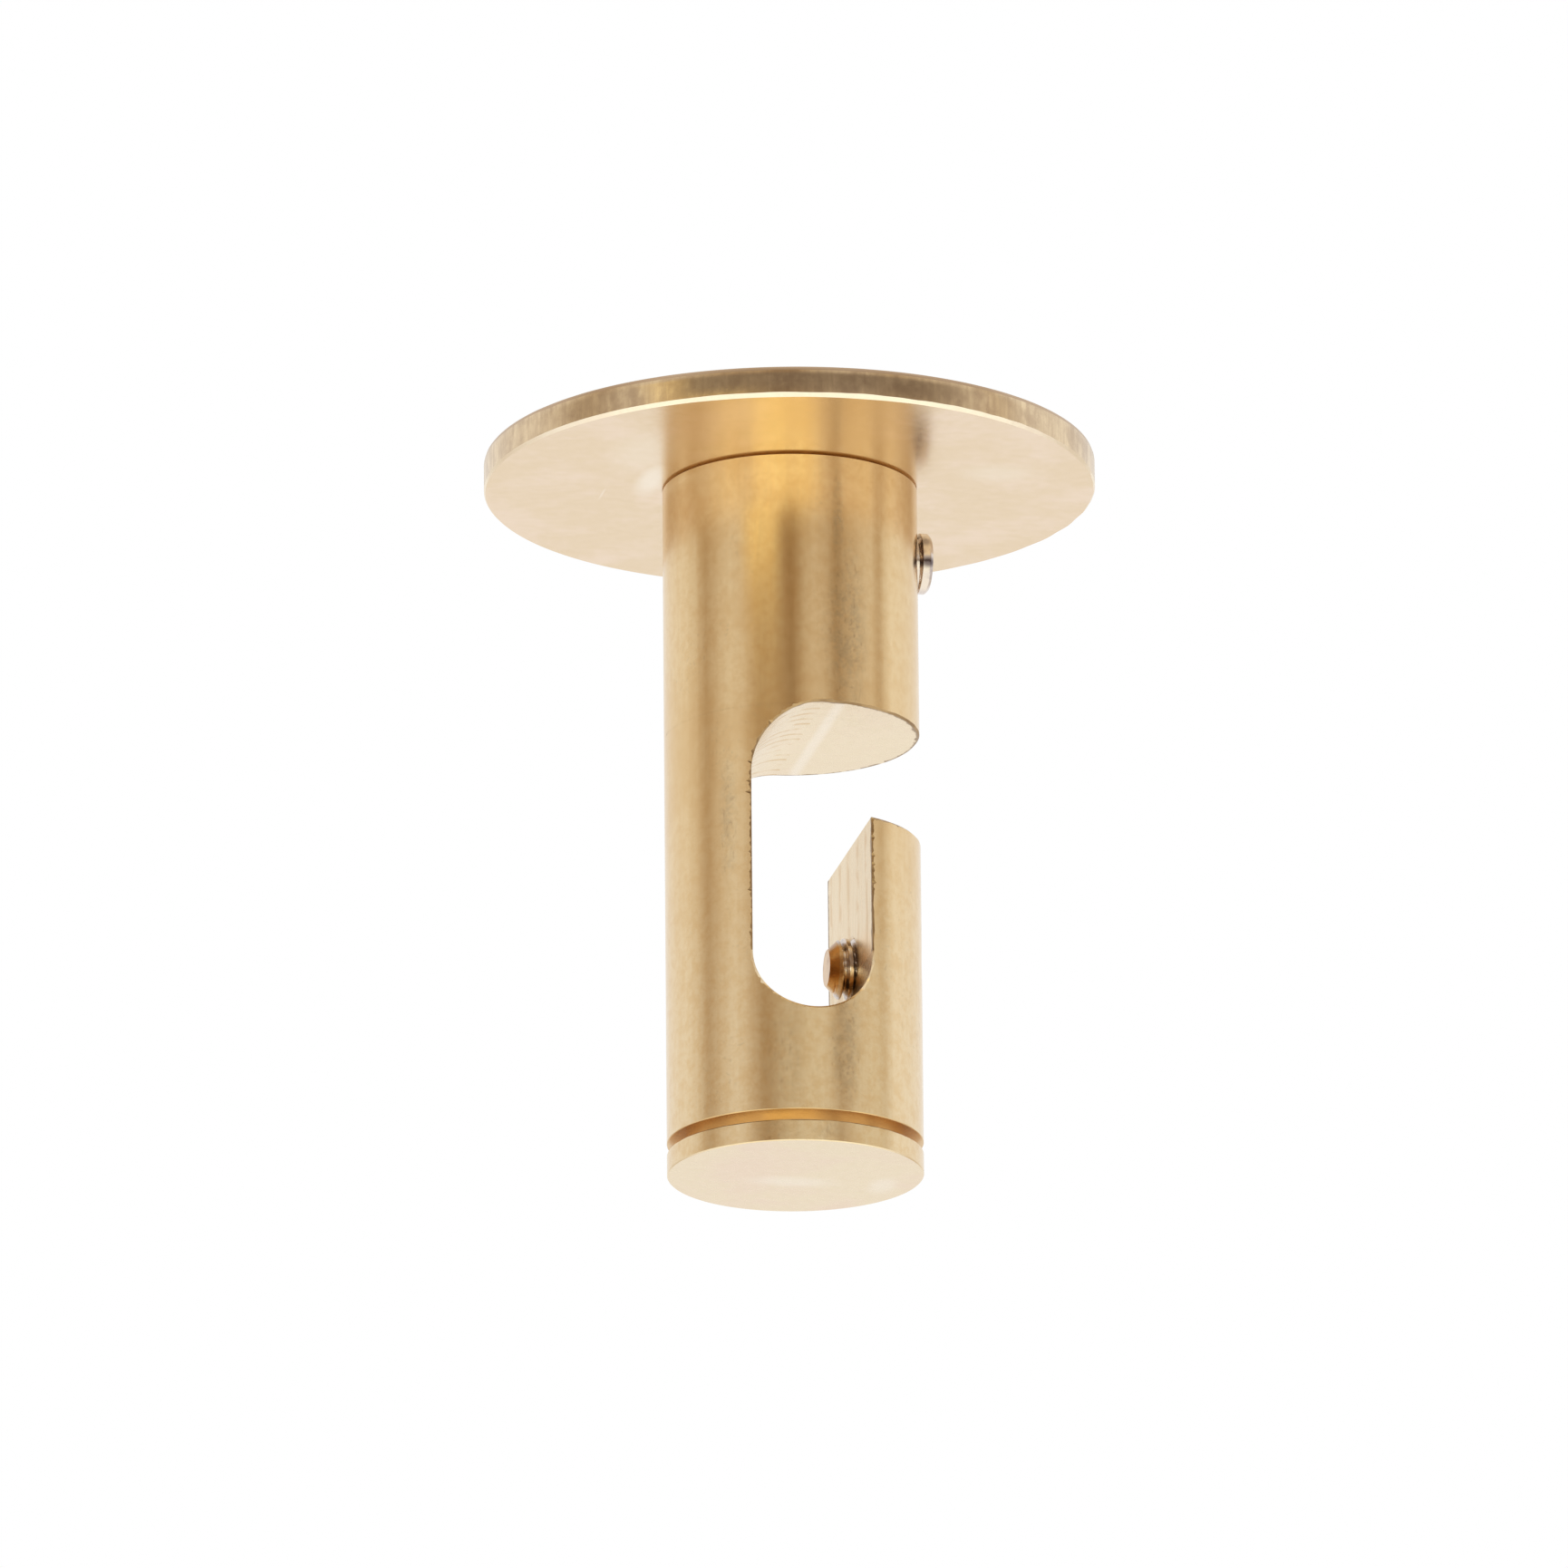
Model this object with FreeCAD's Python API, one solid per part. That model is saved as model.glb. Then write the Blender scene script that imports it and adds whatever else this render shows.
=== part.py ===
import FreeCAD, Part
import math
import os

# Brass ceiling hook for a rod: a round ceiling plate, a hidden spigot and a slotted post with two set screws.
# The origin is the middle of the plate's upper face, which lies against the ceiling. +Z points up into the
# ceiling, the slot's mouth opens towards +X, and the rod lies along Y. All sizes are in millimetres.

V = FreeCAD.Vector

# Ceiling plate: a disc cut from flat sheet
plate_diameter = 60.0
plate_thickness = 3.0
plate_edge_break = 0.2

# Post: turned from round bar, with a decorative groove above its foot
post_diameter = 25.0
post_edge_break = 0.2
foot_edge_break = 0.1
groove_width = 1.1
groove_depth = 1.9
groove_land = 2.1

# J-shaped slot milled through the post, from the neck down
neck_height = 25.4
mouth_height = 11.1
lip_height = 14.0
slot_width = 11.8
slot_offset = -0.25
slot_corner_radius = 7.0
foot_height = 13.6

# Spigot: turned stub in the plate that carries the post and takes the ceiling screw
spigot_diameter = 12.5
spigot_length = 12.0
spigot_edge_break = 0.5
shank_diameter = 8.0
spigot_clearance = 0.25
socket_end_gap = 2.0
drill_point_angle = 118.0
ceiling_screw_hole = 5.2
ceiling_screw_head = 9.6
lock_groove_depth = 0.5
lock_groove_play = 0.3

# Set screws: two alike, with a hexagon socket and a coned flat point
screw_diameter = 6.0
screw_length = 8.0
screw_edge_break = 0.5
point_diameter = 3.6
point_length = 1.2
hex_key_size = 3.0
hex_socket_depth = 3.0
thread_clearance = 0.05
bearing_gap = 0.05
neck_screw_drop = 6.8
lip_screw_rise = 1.75
lip_screw_reach = 2.4

# Cutters run this far past the faces that they leave through
overrun = 1.0

# Places that follow from the sizes above
plate_radius = plate_diameter / 2
post_radius = post_diameter / 2
spigot_radius = spigot_diameter / 2
shank_radius = shank_diameter / 2
screw_radius = screw_diameter / 2
seat_radius = slot_width / 2
socket_radius = spigot_radius + spigot_clearance
tapped_radius = screw_radius + thread_clearance
lock_radius = spigot_radius - lock_groove_depth

post_top = -plate_thickness
slot_ceiling = post_top - neck_height
lip_top = slot_ceiling - mouth_height
seat_centre = lip_top - lip_height
post_foot = seat_centre - seat_radius - foot_height
slot_left = slot_offset - seat_radius
lip_face = slot_offset + seat_radius
neck_screw_height = post_top - neck_screw_drop
lip_screw_height = seat_centre + lip_screw_rise


def turned(profile):
    """Solid of revolution about Z from a closed outline of (radius, height) corners."""
    corners = [V(radius, 0, height) for radius, height in profile]
    outline = Part.makePolygon(corners + corners[:1])
    return Part.Face(outline).revolve(V(0, 0, 0), V(0, 0, 1), 360)


def ceiling_plate():
    """Disc with both rim edges broken and a hole for the spigot's shank."""
    return turned([
        (shank_radius, post_top),
        (plate_radius - plate_edge_break, post_top),
        (plate_radius, post_top + plate_edge_break),
        (plate_radius, -plate_edge_break),
        (plate_radius - plate_edge_break, 0),
        (shank_radius, 0),
    ])


def spigot():
    """Stub below the plate: shank in the plate, locking groove, screw hole countersunk from below."""
    end = post_top - spigot_length
    hole_radius = ceiling_screw_hole / 2
    head_radius = ceiling_screw_head / 2
    point_flare = (screw_radius - point_diameter / 2) / point_length
    lock_half = point_diameter / 2 + point_flare * lock_groove_depth + lock_groove_play
    return turned([
        (hole_radius, 0),
        (shank_radius, 0),
        (shank_radius, post_top),
        (spigot_radius, post_top),
        (spigot_radius, neck_screw_height + lock_half),
        (lock_radius, neck_screw_height + lock_half),
        (lock_radius, neck_screw_height - lock_half),
        (spigot_radius, neck_screw_height - lock_half),
        (spigot_radius, end + spigot_edge_break),
        (spigot_radius - spigot_edge_break, end),
        (head_radius, end),
        (hole_radius, end + head_radius - hole_radius),
    ])


def post_blank():
    """Turned bar with its groove, broken end edges and the drilled socket for the spigot."""
    groove_low = post_foot + groove_land
    groove_high = groove_low + groove_width
    groove_floor = post_radius - groove_depth
    socket_floor = post_top - spigot_length - socket_end_gap
    drill_tip = socket_radius / math.tan(math.radians(drill_point_angle / 2))
    return turned([
        (0, post_foot),
        (post_radius - foot_edge_break, post_foot),
        (post_radius, post_foot + foot_edge_break),
        (post_radius, groove_low),
        (groove_floor, groove_low),
        (groove_floor, groove_high),
        (post_radius, groove_high),
        (post_radius, post_top - post_edge_break),
        (post_radius - post_edge_break, post_top),
        (socket_radius, post_top),
        (socket_radius, socket_floor),
        (0, socket_floor - drill_tip),
    ])


def slot_cutter():
    """Path of the milling cutter: in through the mouth, round the corner and down to the round seat."""
    outside = post_radius + overrun
    arc_reach = slot_corner_radius * math.sin(math.radians(45))
    corner_x = slot_left + slot_corner_radius
    corner_z = slot_ceiling - slot_corner_radius

    wall_foot = V(slot_left, 0, seat_centre)
    wall_head = V(slot_left, 0, corner_z)
    corner_middle = V(corner_x - arc_reach, 0, corner_z + arc_reach)
    ceiling_start = V(corner_x, 0, slot_ceiling)
    mouth_high = V(outside, 0, slot_ceiling)
    mouth_low = V(outside, 0, lip_top)
    lip_head = V(lip_face, 0, lip_top)
    lip_foot = V(lip_face, 0, seat_centre)
    seat_low = V(slot_offset, 0, seat_centre - seat_radius)

    outline = Part.Wire([
        Part.makeLine(wall_foot, wall_head),
        Part.Arc(wall_head, corner_middle, ceiling_start).toShape(),
        Part.makeLine(ceiling_start, mouth_high),
        Part.makeLine(mouth_high, mouth_low),
        Part.makeLine(mouth_low, lip_head),
        Part.makeLine(lip_head, lip_foot),
        Part.Arc(lip_foot, seat_low, wall_foot).toShape(),
    ])
    section = Part.Face(outline)
    section.translate(V(0, -outside, 0))
    return section.extrude(V(0, 2 * outside, 0))


def tapped_hole(start_x, height):
    """Cross hole for a set screw, from start_x out through the post's +X side."""
    reach = post_radius + overrun - start_x
    return Part.makeCylinder(tapped_radius, reach, V(start_x, 0, height), V(1, 0, 0))


def hook_post():
    """Turned blank with the slot milled through it and both cross holes drilled."""
    neck_hole = tapped_hole(0, neck_screw_height)
    lip_hole = tapped_hole(slot_offset, lip_screw_height)
    return post_blank().cut([slot_cutter(), neck_hole, lip_hole])


def set_screw(point_x, height):
    """Set screw along +X, its point at point_x and its hexagon socket at the outer end."""
    body = turned([
        (0, 0),
        (point_diameter / 2, 0),
        (screw_radius, point_length),
        (screw_radius, screw_length - screw_edge_break),
        (screw_radius - screw_edge_break, screw_length),
        (0, screw_length),
    ])
    corner_radius = hex_key_size / math.sqrt(3)
    socket_floor = screw_length - hex_socket_depth
    turns = [math.radians(60 * side) for side in range(6)]
    corners = [V(corner_radius * math.cos(t), corner_radius * math.sin(t), socket_floor) for t in turns]
    hexagon = Part.Face(Part.makePolygon(corners + corners[:1]))
    screw = body.cut(hexagon.extrude(V(0, 0, hex_socket_depth + overrun)))
    screw.rotate(V(0, 0, 0), V(0, 1, 0), 90)
    screw.translate(V(point_x, 0, height))
    return screw


pieces = {
    "ceiling_plate": ceiling_plate(),
    "spigot": spigot(),
    "hook_post": hook_post(),
    "neck_screw": set_screw(lock_radius + bearing_gap, neck_screw_height),
    "lip_screw": set_screw(lip_face - lip_screw_reach, lip_screw_height),
}

os.makedirs("parts", exist_ok=True)
for name, shape in pieces.items():
    shape.exportStep(f"parts/{name}.step")
    box = shape.BoundBox
    print(f"{name}: {len(shape.Solids)} solid, {shape.Volume / 1000:.2f} cm3, "
          f"x {box.XMin:.2f} to {box.XMax:.2f}, z {box.ZMin:.2f} to {box.ZMax:.2f}, valid {shape.isValid()}")
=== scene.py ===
# %% [markdown]
# A brass ceiling hook that carries a rod: a round plate, a slotted post below it and two small set screws.
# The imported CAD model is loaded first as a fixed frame, so every surface below follows a true size.
# The shapes are worked out in millimetres as numpy arrays, and turned into metres when they become meshes.

# %% Load the frame
import math

import bmesh
import bpy
import numpy as np
from mathutils import Matrix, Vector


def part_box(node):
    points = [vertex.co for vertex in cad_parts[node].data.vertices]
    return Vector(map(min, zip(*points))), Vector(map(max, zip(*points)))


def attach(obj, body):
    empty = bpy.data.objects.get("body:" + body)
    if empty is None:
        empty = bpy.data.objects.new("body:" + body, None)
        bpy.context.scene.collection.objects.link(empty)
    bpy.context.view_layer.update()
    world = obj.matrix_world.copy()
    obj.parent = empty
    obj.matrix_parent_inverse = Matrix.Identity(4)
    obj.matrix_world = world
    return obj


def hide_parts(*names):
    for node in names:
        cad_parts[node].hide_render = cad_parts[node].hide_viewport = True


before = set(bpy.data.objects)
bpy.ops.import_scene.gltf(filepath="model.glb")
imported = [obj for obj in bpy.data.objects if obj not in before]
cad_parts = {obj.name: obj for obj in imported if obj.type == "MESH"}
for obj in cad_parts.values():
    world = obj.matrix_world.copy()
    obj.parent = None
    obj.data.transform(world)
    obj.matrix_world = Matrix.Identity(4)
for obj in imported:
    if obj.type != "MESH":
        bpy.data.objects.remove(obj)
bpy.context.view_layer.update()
MM = 0.001


def node_box(name):
    """Lowest and highest corner of a CAD node, in millimetres."""
    low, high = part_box(name)
    return np.array(low) / MM, np.array(high) / MM


# %% [markdown]
# The camera stands about two metres away, below the plate and a little to the left, and looks up at the hook.
# A long lens from far off keeps upright edges almost parallel, as in a product picture. The camera's axes
# are written out as three unit vectors, because a matrix made from them needs no rotation order.

# %% Camera
image_size = 1730
focal_length_pixels = 23530
sensor_width = 36.0
eye_azimuth, eye_elevation, camera_roll = (math.radians(angle) for angle in (-11.19, -17.22, -0.51))
eye_distance = 2085.5
aim_right, aim_height = -0.79, -33.08

forward = np.array([
    -math.sin(eye_azimuth) * math.cos(eye_elevation),
    math.cos(eye_azimuth) * math.cos(eye_elevation),
    -math.sin(eye_elevation),
])
level_right = np.array([math.cos(eye_azimuth), math.sin(eye_azimuth), 0])
level_up = np.cross(level_right, forward)
camera_right = math.cos(camera_roll) * level_right + math.sin(camera_roll) * level_up
camera_up = math.cos(camera_roll) * level_up - math.sin(camera_roll) * level_right
aim = aim_right * level_right + np.array([0, 0, aim_height])
eye = aim - eye_distance * forward


def new_object(name, data):
    """Object with this data, linked into the scene."""
    made = bpy.data.objects.new(name, data)
    bpy.context.scene.collection.objects.link(made)
    return made


lens = bpy.data.cameras.new("photo_lens")
lens.sensor_width = sensor_width
lens.lens = focal_length_pixels / image_size * sensor_width
lens.clip_end = 50
camera = new_object("photo_camera", lens)
pose = np.eye(4)
pose[:3, 0], pose[:3, 1], pose[:3, 2], pose[:3, 3] = camera_right, camera_up, -forward, eye * MM
camera.matrix_world = Matrix(pose.tolist())
bpy.context.scene.camera = camera
bpy.context.scene.view_settings.view_transform = "Standard"
print(f"camera: {lens.lens:.0f} mm lens, eye at {np.round(eye).tolist()} mm")

# %% [markdown]
# Each piece is sewn together from patches. A patch is a grid of points, so it can be written as a formula of
# two parameters, and neighbouring patches share the points along their seam. Merging those doubles closes
# the seams and the poles. A count of edges that don't have exactly two faces proves that the skin is closed.

# %% Patches to a closed mesh
weld_distance = 1e-6
crisp_angle = math.radians(28)


def points_of(x, y, z):
    """Grid of points from three arrays that spread to one shape."""
    return np.stack(np.broadcast_arrays(x, y, z), axis=-1).astype(float)


def patch(grid, finish, keep=None):
    """A grid of points with the number of its finish and a mask of the quads to keep."""
    rows, cols = grid.shape[:2]
    whole = np.ones((rows - 1, cols - 1), bool)
    return grid, finish, whole if keep is None else keep


def grid_quads(rows, cols):
    """Quads of a grid: each joins a point, the next in its row, and the two below them."""
    point = np.arange(rows * cols).reshape(rows, cols)
    return np.stack([point[:-1, :-1], point[:-1, 1:], point[1:, 1:], point[1:, :-1]], axis=-1)


def closed_piece(name, patches, finishes):
    """Welds patches into one mesh with its faces outwards. Edges sharper than crisp_angle stay crisp."""
    starts = np.cumsum([0] + [grid.shape[0] * grid.shape[1] for grid, _, _ in patches])
    points = np.concatenate([grid.reshape(-1, 3) for grid, _, _ in patches])
    quads = np.concatenate([
        start + grid_quads(*grid.shape[:2])[keep] for start, (grid, _, keep) in zip(starts, patches)
    ])
    slots = np.concatenate([np.full(keep.sum(), finish) for _, finish, keep in patches])
    used, corners = np.unique(quads, return_inverse=True)

    mesh = bpy.data.meshes.new(name)
    mesh.from_pydata(points[used] * MM, [], corners.reshape(-1, 4))
    mesh.polygons.foreach_set("material_index", slots.astype(np.int32))
    shell = bmesh.new()
    shell.from_mesh(mesh)
    bmesh.ops.remove_doubles(shell, verts=shell.verts, dist=weld_distance)
    bmesh.ops.recalc_face_normals(shell, faces=shell.faces)
    shell.to_mesh(mesh)
    shell.free()
    mesh.shade_smooth()
    mesh.set_sharp_from_angle(angle=crisp_angle)
    for finish in finishes:
        mesh.materials.append(finish)

    edge_of_loop = np.empty(len(mesh.loops), np.int32)
    mesh.loops.foreach_get("edge_index", edge_of_loop)
    open_edges = int((np.bincount(edge_of_loop, minlength=len(mesh.edges)) != 2).sum())
    print(f"{name}: {len(mesh.polygons)} faces, {open_edges} open edges")
    return new_object(name, mesh)


def wander(u, v, size):
    """Smooth uneven wave from -1 to 1: three slanted sine waves whose lengths share no common beat."""
    waves = ((1, 0.37, 1, 1.3), (0.61, -1, 1.83, 4.1), (0.83, 0.91, 3.17, 2.2))
    return sum(np.sin((a * u + b * v) * pace / size + start) for a, b, pace, start in waves) / len(waves)


# %% [markdown]
# Finishes come before the pieces, so that each piece can be made with its materials. Brass mirrors its
# surroundings in yellow, so its colour is the Base Color of a fully metallic Principled shader, and most of
# the work is in what disturbs the mirror: long streaks from drawing the bar, clouds of tarnish and specks.
# These are shared by several finishes, so each is a node group that puts out a mask from 0 to 1. A few short
# functions come first, because placing and linking every node by hand would take three lines for each.

# %% Node helpers
def fill(tree, made, inputs):
    """Sets inputs of a node, each to a plain value or to another node's output socket."""
    for name, value in inputs.items():
        if isinstance(value, bpy.types.NodeSocket):
            tree.links.new(value, made.inputs[name])
        else:
            made.inputs[name].default_value = value


def node(tree, kind, inputs=None, **settings):
    """New shader node with its settings and inputs."""
    made = tree.nodes.new("ShaderNode" + kind)
    for name, value in settings.items():
        setattr(made, name, value)
    fill(tree, made, inputs or {})
    return made


def calc(tree, operation, *values):
    """Output of one Math node."""
    return node(tree, "Math", dict(enumerate(values)), operation=operation).outputs[0]


def times(tree, first, second):
    """Product of two values."""
    return calc(tree, "MULTIPLY", first, second)


def vector_calc(tree, operation, *vectors):
    """Vector output of one Vector Math node."""
    return node(tree, "VectorMath", dict(enumerate(vectors)), operation=operation).outputs[0]


def length_of(tree, vector):
    """Length of a vector."""
    return node(tree, "VectorMath", {0: vector}, operation="LENGTH").outputs["Value"]


def step_up(tree, value, low, high, bottom=0.0, top=1.0):
    """Soft step from bottom to top as value goes from low to high."""
    sockets = {"Value": value, "From Min": low, "From Max": high, "To Min": bottom, "To Max": top}
    return node(tree, "MapRange", sockets, interpolation_type="SMOOTHSTEP").outputs["Result"]


def noise(tree, vector, scale, detail=2.0, roughness=0.5):
    """Value of a Noise Texture, around 0.5."""
    sockets = {"Vector": vector, "Scale": scale, "Detail": detail, "Roughness": roughness}
    return node(tree, "TexNoise", sockets).outputs["Fac"]


def blend(tree, share, first, second):
    """Value between first and second."""
    return node(tree, "Mix", {0: share, 2: first, 3: second}).outputs[0]


def tint(tree, share, first, second):
    """Colour between first and second."""
    return node(tree, "Mix", {0: share, 6: first, 7: second}, data_type="RGBA").outputs[2]


def new_group(name, inputs, outputs):
    """Empty node group with Float or Vector inputs and Float outputs, and its two end nodes."""
    group = bpy.data.node_groups.new(name, "ShaderNodeTree")
    for label, kind in inputs.items():
        group.interface.new_socket(label, in_out="INPUT", socket_type="NodeSocket" + kind)
    for label in outputs:
        group.interface.new_socket(label, in_out="OUTPUT", socket_type="NodeSocketFloat")
    return group, group.nodes.new("NodeGroupInput").outputs, group.nodes.new("NodeGroupOutput").inputs


def place(tree, group, inputs):
    """Outputs of a node group placed in a material."""
    return node(tree, "Group", inputs, node_tree=group).outputs


def new_material(name):
    """New material and its node tree."""
    material = bpy.data.materials.new(name)
    material.use_nodes = True
    return material, material.node_tree


def metal(name):
    """New metallic material, with its node tree, its shader and the place on the piece in mm."""
    material, tree = new_material(name)
    shader = tree.nodes["Principled BSDF"]
    shader.inputs["Metallic"].default_value = 1.0
    on_piece = node(tree, "TexCoord").outputs["Object"]
    in_mm = node(tree, "VectorMath", {0: on_piece, "Scale": 1 / MM}, operation="SCALE").outputs[0]
    return material, tree, shader, in_mm


print("node helpers ready")

# %% Patina group
cloud_steps, crowd_steps, grain_steps = (0.42, 0.68), (0.48, 0.66), (0.57, 0.72)
crowds_per_cloud = 1.4
patina, given, result = new_group(
    "patina", {"Vector": "Vector", "Cloud Size": "Float", "Speck Size": "Float"}, ["Cloud", "Specks"])
cloud_scale = calc(patina, "DIVIDE", 1.0, given["Cloud Size"])
crowd_scale = times(patina, cloud_scale, crowds_per_cloud)
speck_scale = calc(patina, "DIVIDE", 1.0, given["Speck Size"])
cloud = noise(patina, given["Vector"], cloud_scale, detail=5.0, roughness=0.6)
crowd = step_up(patina, noise(patina, given["Vector"], crowd_scale), *crowd_steps)
grains = step_up(patina, noise(patina, given["Vector"], speck_scale, detail=3.0, roughness=0.6), *grain_steps)
patina.links.new(step_up(patina, cloud, *cloud_steps), result["Cloud"])
patina.links.new(times(patina, grains, crowd), result["Specks"])
print("group:", patina.name)

# %% Streaks group
streaks, given, result = new_group(
    "long_streaks", {"Vector": "Vector", "Width": "Float", "Length": "Float"}, ["Streak"])
across = calc(streaks, "DIVIDE", 1.0, given["Width"])
along = calc(streaks, "DIVIDE", 1.0, given["Length"])
pulled = node(streaks, "CombineXYZ", {"X": across, "Y": across, "Z": along}).outputs[0]
drawn_out = vector_calc(streaks, "MULTIPLY", given["Vector"], pulled)
streaks.links.new(noise(streaks, drawn_out, 1.0, detail=3.0, roughness=0.55), result["Streak"])
print("group:", streaks.name)

# %% [markdown]
# One function makes all the brass finishes, because they are the same metal: a turned bar, milled slot walls,
# faced ends, rolled sheet and filed edges. What differs is how smooth each one is, which way its tool marks
# run and how much tarnish has settled on it, and some also carry painted shade, painted highlights and
# painted reflections in their colour. Turning leaves fine rings, and rings blur a reflection along the axis
# only, so the bar's shader is anisotropic: it stays sharp from side to side and soft up and down.

# %% Brass colours
bright_brass = (0.80, 0.61, 0.355, 1)
fresh_brass = (0.87, 0.73, 0.51, 1)
pink_brass = (0.87, 0.69, 0.52, 1)
# Painted highlight: the pale colour of the glint spots.
painted_glint_brass = (0.96, 0.86, 0.72, 1)
# Lighter colour of the bar towards its foot.
lighter_foot_brass = (0.81, 0.645, 0.41, 1)
deep_brass = (0.72, 0.50, 0.25, 1)
groove_brass = (0.71, 0.475, 0.225, 1)
sheet_brass = (0.80, 0.62, 0.40, 1)
# Painted reflection: the amber of warm spots that stand in for reflected brass.
painted_reflection_amber = (0.84, 0.53, 0.22, 1)
rim_brass = (0.84, 0.67, 0.44, 1)
rim_shade = (0.52, 0.38, 0.25, 1)
# Painted highlight: the pale colour of the plate's lower edge.
painted_highlight_brass = (0.95, 0.84, 0.66, 1)
# Painted shade: the darker colour of the plate's upper edge band.
painted_shade_rim_top_brass = (0.56, 0.41, 0.28, 1)
# Painted shade: the dark colour of the post's top edge where it meets the plate.
painted_seam_shade_brass = (0.50, 0.31, 0.14, 1)
olive_tarnish = (0.46, 0.38, 0.25, 1)
# Dark brown: real dirt in the stain flecks, and painted shade along the slot's edges.
dirt_and_edge_shade = (0.30, 0.19, 0.10, 1)
upright_blur = 0.25
print("brass colours ready")

# %% Marks on brass
spot_core = 0.2
vein_noise, vein_steps, vein_floor = 1.1, (0.42, 0.60), 0.25
fleck_stretch, fleck_steps, fleck_strength = (2.6, 2.6, 1.2), (0.57, 0.70), 0.27
stained_from = 0.3
ragged_noise, edge_shade_softness = 0.9, 0.1
feed_noise, feed_wobble, feed_steps = 0.3, 1.5, (0.35, 0.95)
gap_noise, gap_steps = 0.5, (0.36, 0.58)


def spots(tree, in_mm, places):
    """Soft ellipsoids, each (centre, half sizes, strength) in mm: 0 at the outside, full in the core."""
    total = 0.0
    for centre, half_sizes, strength in places:
        offset = vector_calc(tree, "SUBTRACT", in_mm, centre)
        distance = length_of(tree, vector_calc(tree, "DIVIDE", offset, half_sizes))
        total = calc(tree, "MAXIMUM", total, step_up(tree, distance, 1.0, spot_core, 0.0, strength))
    return total


def veined(tree, in_mm, mask):
    """Mask broken up into veins: a quarter of it stays even and the rest follows a fine noise."""
    fine = noise(tree, in_mm, vein_noise, detail=8.0, roughness=0.74)
    return times(tree, mask, step_up(tree, fine, *vein_steps, vein_floor, 1.0))


def flecked(tree, in_mm, mask):
    """Small upright flecks where a stretched noise is high and the mask is well above 0."""
    stretched = vector_calc(tree, "MULTIPLY", in_mm, fleck_stretch)
    fleck = step_up(tree, noise(tree, stretched, 1.0, detail=3.0), *fleck_steps)
    return times(tree, step_up(tree, mask, 0.0, stained_from, 0.0, fleck_strength), fleck)


def painted_edge_shade(tree, in_mm, radius):
    """Painted shade, a burr's ragged dark shadow where a cut face meets the bar's skin: 1 beyond about a
    radius from the axis.
    """
    reach = length_of(tree, vector_calc(tree, "MULTIPLY", in_mm, (1, 1, 0)))
    uneven = calc(tree, "SUBTRACT", noise(tree, in_mm, ragged_noise, detail=3.0), 0.5)
    return step_up(tree, calc(tree, "ADD", uneven, reach), radius - edge_shade_softness, radius + edge_shade_softness)


def feed_lines(tree, in_mm, pitch):
    """Thin lines that a cutter leaves at even steps along Y, interrupted by noise."""
    along_y = node(tree, "SeparateXYZ", {"Vector": in_mm}).outputs["Y"]
    even_turn = times(tree, along_y, 2 * math.pi / pitch)
    turn = calc(tree, "MULTIPLY_ADD", noise(tree, in_mm, feed_noise), feed_wobble, even_turn)
    line = step_up(tree, calc(tree, "SINE", turn), *feed_steps)
    return times(tree, line, step_up(tree, noise(tree, in_mm, gap_noise, detail=3.0), *gap_steps))


print("marks ready")

# %% Brass finishes
speck_size, streak_width, streak_length = 0.4, 0.5, 22.0
fine_noise, wave_noise = 0.9, 0.13
streak_steps, fine_steps, mark_steps = (0.35, 0.72), (0.38, 0.68), (0.35, 0.65)
lighter_fade = 15
line_strength, line_depth = 0.8, 0.001
spoiled_gloss, gloss_steps, gloss_play = 0.12, (0.3, 0.7), (-0.02, 0.03)


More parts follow.
